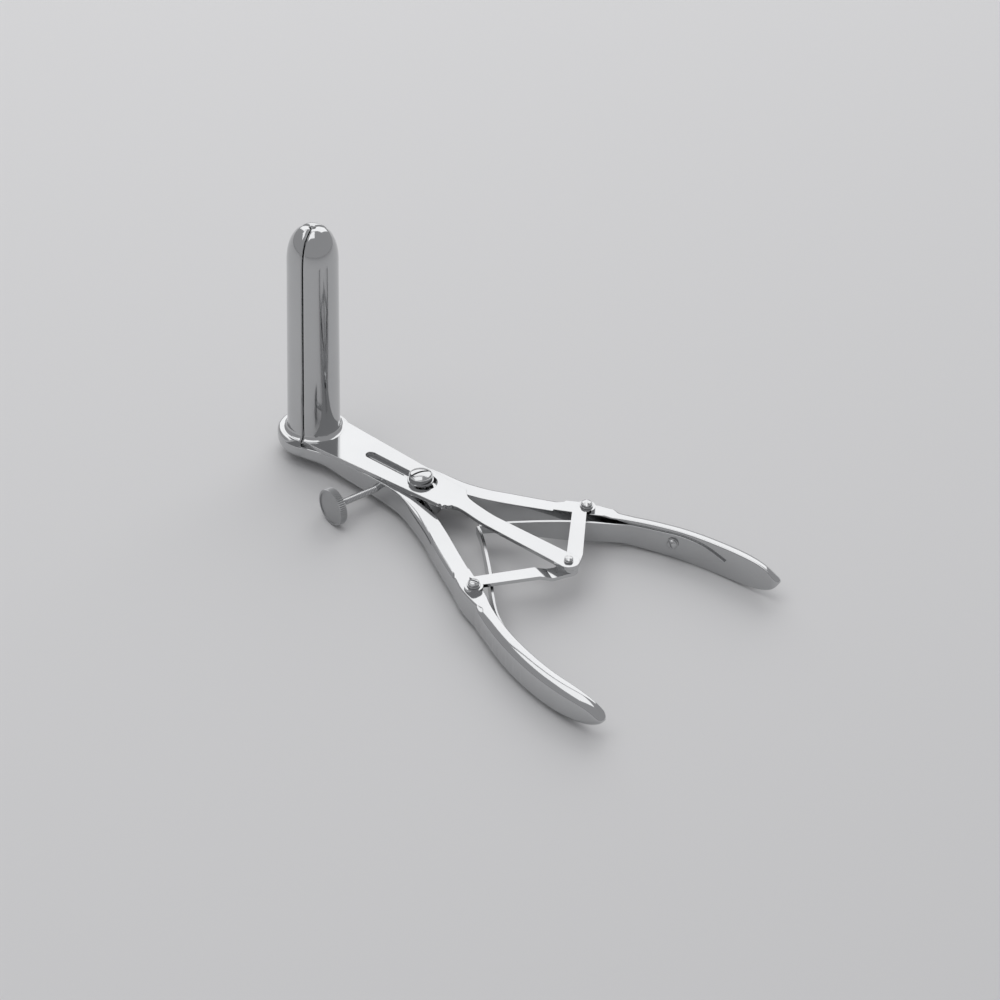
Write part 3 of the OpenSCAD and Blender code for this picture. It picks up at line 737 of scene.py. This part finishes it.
def screw_pieces():
    pivot = [(0, 4.25), (3.1, 4.25), (3.2, 4.35), (3.2, 5.4), (1.9, 5.4), (1.9, 16.05), (5.0, 16.05), (5.05, 16.15),
             (5.05, 16.6), (4.95, 16.7), (4.6, 16.75)]
    pivot += rounded_head(4.6, 2.0, 1.2, 0.3, 16.75)[2:] + [(0, 20)]
    mesh = slotted(turned(pivot, 96), 5, 19.95, 1.7, 0.9, 66, "pivot_head")
    add_piece("pivot_head", mesh, screw_steel, "pivot", "screw_steel", "pivot_screw", sharp=32)
    sx, sy = 54.4, 33.3
    for side, name, angle in ((1, "far", -52), (-1, "near", 20)):
        link_top = 12.4
        profile = [(0, 6.1), (1.2, 6.1), (1.2, link_top + 0.05), (2.45, link_top + 0.05), (2.5, link_top + 0.1),
                   (2.5, link_top + 0.4), (2.4, link_top + 0.5), (2.15, link_top + 0.52)]
        profile += rounded_head(2.15, 1.0, 0.65, 0.2, link_top + 0.52)[2:] + [(0, 15)]
        mesh = slotted(turned(profile, 48), 2.5, link_top + 2.15, 0.9, 0.7, angle, name + "_link_head")
        moved(mesh, Matrix.Translation((sx, side * sy, 0)))
        add_piece(name + "_link_head", mesh, screw_steel, name + "_lever", "screw_steel", name + "_link_screw", sharp=32)
        seat = 0.9
        profile = [(0, -4), (1.2, -4), (1.2, seat), (2.2, seat), (2.3, seat + 0.1), (2.3, seat + 0.35), (2.1, seat + 0.4)]
        profile += rounded_head(2.1, 0.75, 0.75, 0.2, seat + 0.4)[2:] + [(0, 4)]
        mesh = slotted(turned(profile, 48), 2.5, seat + 1.9, 0.85, 0.7, 25, name + "_leaf_head")
        lean = math.asin((87 - BOW_X) / BOW_IN)
        turn = Matrix.Rotation(math.pi / 2 - lean, 4, "Z") @ Matrix.Translation((BOW_IN, 0, 0))
        turn = Matrix.Translation((BOW_X, BOW_Y, 4.7)) @ turn @ Matrix.Rotation(-math.pi / 2, 4, "Y")
        moved(mesh, turn)
        if side < 0:
            mirror_mesh(mesh)
        add_piece(name + "_leaf_head", mesh, screw_steel, name + "_lever", "screw_steel", name + "_spring_screw",
                  sharp=32)
    foot = 10.9 - 0.1 - 1.5
    profile = [(0, foot - 0.9), (2.5, foot - 0.9), (2.6, foot - 0.8), (2.6, foot - 0.1), (2.5, foot), (0.75, foot),
               (0.75, 14.05), (1.75, 14.05), (1.8, 14.1), (1.8, 14.3), (1.65, 14.35)]
    profile += rounded_head(1.65, 0.8, 0.5, 0.15, 14.35)[2:] + [(0, 16)]
    mesh = slotted(turned(profile, 48), 2, 15.65, 0.7, 0.6, -52, "tail_rivet")
    moved(mesh, Matrix.Translation((72.2, 0, 0)))
    add_piece("tail_rivet", mesh, screw_steel, "slide", "screw_steel", "tail_pin", sharp=32)


def lock_frame():
    return (Matrix.Translation((-14.5, -9.1, 10)) @ Matrix.Rotation(math.radians(-12.5), 4, "Z")
            @ Matrix.Rotation(math.pi / 2, 4, "X"))


def lock_pieces():
    inside_end, reach, pitch = 5.2, 18.5, 0.7
    crest, root, steps = 1.42, 1.17, 24
    shell = Shell()
    rings = []
    low, high = -inside_end + 0.05, reach + 1.0
    per_turn = 6
    count = int((high - low) / pitch * per_turn)
    for k in range(count + 1):
        ring = []
        for j in range(steps):
            a = 2 * math.pi * j / steps
            z = low + (high - low) * k / count
            phase = (z / pitch - j / steps) % 1.0
            tooth = 1 - abs(2 * phase - 1)
            ends = min(1, (z - low) / 0.6, (high - z) / 0.3)
            r = root + (crest - root) * tooth * max(0, ends)
            ring.append((r * math.cos(a), r * math.sin(a), z))
        rings.append(ring)
    shell.tube(rings)
    mesh = moved(shell.mesh("lock_thread"), lock_frame())
    add_piece("lock_thread", mesh, screw_steel, "lock_screw", "screw_steel", "lock_screw", sharp=60)
    outline = []
    teeth, radius, depth, thick = 56, 7.4, 0.32, 3.2
    for j in range(2 * teeth):
        r = radius - (j % 2) * depth
        a = math.pi * j / teeth
        outline.append((r * math.cos(a), r * math.sin(a)))
    disc_part = plate(np.array(outline), [], reach, reach + thick, 0.4)
    mesh = disc_part.mesh("knob")
    mesh = cut(mesh, disc(0, 0, 6.3, reach + thick - 0.3, reach + thick + 2))
    mesh = cut(mesh, disc(0, 0, 1.55, reach - 1, reach + 1.2))
    moved(mesh, lock_frame())
    add_piece("knob_body", mesh, knob_steel, "lock_knob", "knob_steel", "lock_knob", sharp=25)


# ---- materials


def node(tree, kind, **values):
    made = tree.nodes.new(kind)
    for key, value in values.items():
        setattr(made, key, value)
    return made


def steel(name, colour, rough, brush_axis=None, brush=0.0):
    """Polished steel with fine scratches, faint smudges and a little unevenness."""
    mat = bpy.data.materials.new(name)
    mat.use_nodes = True
    tree = mat.node_tree
    link = tree.links.new
    shader = tree.nodes["Principled BSDF"]
    shader.inputs["Metallic"].default_value = 1.0
    place = node(tree, "ShaderNodeTexCoord")
    smudge = node(tree, "ShaderNodeTexNoise")
    smudge.inputs["Scale"].default_value = 38
    smudge.inputs["Detail"].default_value = 5
    smudge.inputs["Roughness"].default_value = 0.6
    link(place.outputs["Object"], smudge.inputs["Vector"])
    grain_map = node(tree, "ShaderNodeMapping")
    scale = {"z": (2600, 2600, 18), "x": (30, 2400, 2400), None: (900, 900, 900)}[brush_axis]
    grain_map.inputs["Scale"].default_value = scale
    link(place.outputs["Object"], grain_map.inputs["Vector"])
    grain = node(tree, "ShaderNodeTexNoise")
    grain.inputs["Scale"].default_value = 1
    grain.inputs["Detail"].default_value = 3
    link(grain_map.outputs["Vector"], grain.inputs["Vector"])
    tone = node(tree, "ShaderNodeValToRGB")
    tone.color_ramp.elements[0].position = 0.25
    tone.color_ramp.elements[1].position = 0.8
    tone.color_ramp.elements[0].color = (*[c * 0.93 for c in colour], 1)
    tone.color_ramp.elements[1].color = (*colour, 1)
    link(smudge.outputs["Fac"], tone.inputs["Fac"])
    link(tone.outputs["Color"], shader.inputs["Base Color"])
    shine = node(tree, "ShaderNodeMapRange")
    shine.inputs["From Min"].default_value = 0.3
    shine.inputs["From Max"].default_value = 0.75
    shine.inputs["To Min"].default_value = rough * 0.8
    shine.inputs["To Max"].default_value = rough * 1.5
    link(smudge.outputs["Fac"], shine.inputs["Value"])
    add = node(tree, "ShaderNodeMath", operation="MULTIPLY_ADD")
    link(grain.outputs["Fac"], add.inputs[0])
    add.inputs[1].default_value = rough * 0.6
    link(shine.outputs["Result"], add.inputs[2])
    link(add.outputs["Value"], shader.inputs["Roughness"])
    bump = node(tree, "ShaderNodeBump")
    bump.inputs["Strength"].default_value = 0.12 + brush
    bump.inputs["Distance"].default_value = 0.00001
    link(grain.outputs["Fac"], bump.inputs["Height"])
    link(bump.outputs["Normal"], shader.inputs["Normal"])
    return mat


def add_floor():
    """A pale floor that touches the handles and whatever hangs lowest at the front, collar or knob."""
    points = np.array([v.co for n in ("near_lever", "far_lever", "lock_knob") for v in nodes[n].data.vertices])
    front = points[points[:, 0] < PIVOT_X * MM]
    back = points[points[:, 0] > 0]
    slope = 0.0
    for _ in range(6):
        foot = front[np.argmin(front[:, 2] - slope * front[:, 0])]
        heel = back[np.argmin(back[:, 2] - slope * back[:, 0])]
        slope = (heel[2] - foot[2]) / (heel[0] - foot[0])
    x0, low = foot[0], foot[2]
    half = 4.0
    corners = []
    for cx, cy in ((-half, -half), (half, -half), (half, half), (-half, half)):
        corners.append((cx, cy, low + slope * (cx - x0)))
    mesh = bpy.data.meshes.new("floor")
    mesh.from_pydata(corners, [], [(0, 1, 2, 3)])
    floor = bpy.data.objects.new("floor", mesh)
    bpy.context.scene.collection.objects.link(floor)
    mat = bpy.data.materials.new("floor_paint")
    mat.use_nodes = True
    shader = mat.node_tree.nodes["Principled BSDF"]
    shader.inputs["Base Color"].default_value = (0.7, 0.7, 0.705, 1)
    shader.inputs["Roughness"].default_value = 0.6
    mesh.materials.append(mat)


add_camera()
add_floor()
aim = Vector((-0.03, 0, 0.02))
add_lamp("back_box", (-0.5, 0.64, 0.62), 1.6, (2.1, 1.5), 1.15, aim)
add_lamp("top_box", (-0.2, -0.2, 1.0), 1.5, (1.3, 1.3), 1.1, aim)
world = bpy.data.worlds.new("studio")
bpy.context.scene.world = world
world.use_nodes = True
world.node_tree.nodes["Background"].inputs[0].default_value = (0.42, 0.42, 0.43, 1)

lever_steel = steel("lever_steel", (0.56, 0.565, 0.57), 0.06, "z", 0.1)
spring_steel = steel("spring_steel", (0.52, 0.525, 0.53), 0.14, "x")
screw_steel = steel("screw_steel", (0.55, 0.555, 0.56), 0.09)
knob_steel = steel("knob_steel", (0.45, 0.455, 0.46), 0.3)
by_slot = {"lever_steel": lever_steel, "spring_steel": spring_steel, "screw_steel": screw_steel,
           "knob_steel": knob_steel}

for sub in frame["record"]["subparts"]:
    obj = nodes[sub["node"]]
    for s in range(len(obj.data.materials)):
        obj.data.materials[s] = by_slot[sub["material_slot"]]

add_piece("far_lever_body", lever_mesh(False, "far_lever_body"), lever_steel, "far_lever", "lever_steel", "far_lever")
add_piece("near_lever_body", mirror_mesh(lever_mesh(True, "near_lever_body")), lever_steel, "near_lever",
          "lever_steel", "near_lever")
add_piece("slide_body", slide_mesh(), lever_steel, "slide", "lever_steel", "centre_slide")
far_bent = [(65.6, 34.6), (58.6, 28.4), (50.5, 21.1), (42, 14.4), (36, 9.6), (31.6, 4.8), (28.6, 0.75)]
near_bent = [(67.6, 36.5), (60.2, 30.1), (52.4, 22.2), (41, 11.2), (34.5, 5.2), (28.6, 0.75)]
far_leaf = add_piece("far_leaf", spring_mesh(71, far_bent), spring_steel, None, "spring_steel", "far_spring")
near_leaf = add_piece("near_leaf", mirror_mesh(spring_mesh(74, near_bent)), spring_steel, None, "spring_steel",
                      "near_spring")
# the leaves belong to no lever, so they stay where they are, tips together in the middle, while the handles swing
for leaf, name, side in ((far_leaf, "far", 1), (near_leaf, "near", -1)):
    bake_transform(leaf)
screw_pieces()
lock_pieces()

bpy.context.scene.view_settings.view_transform = "Standard"
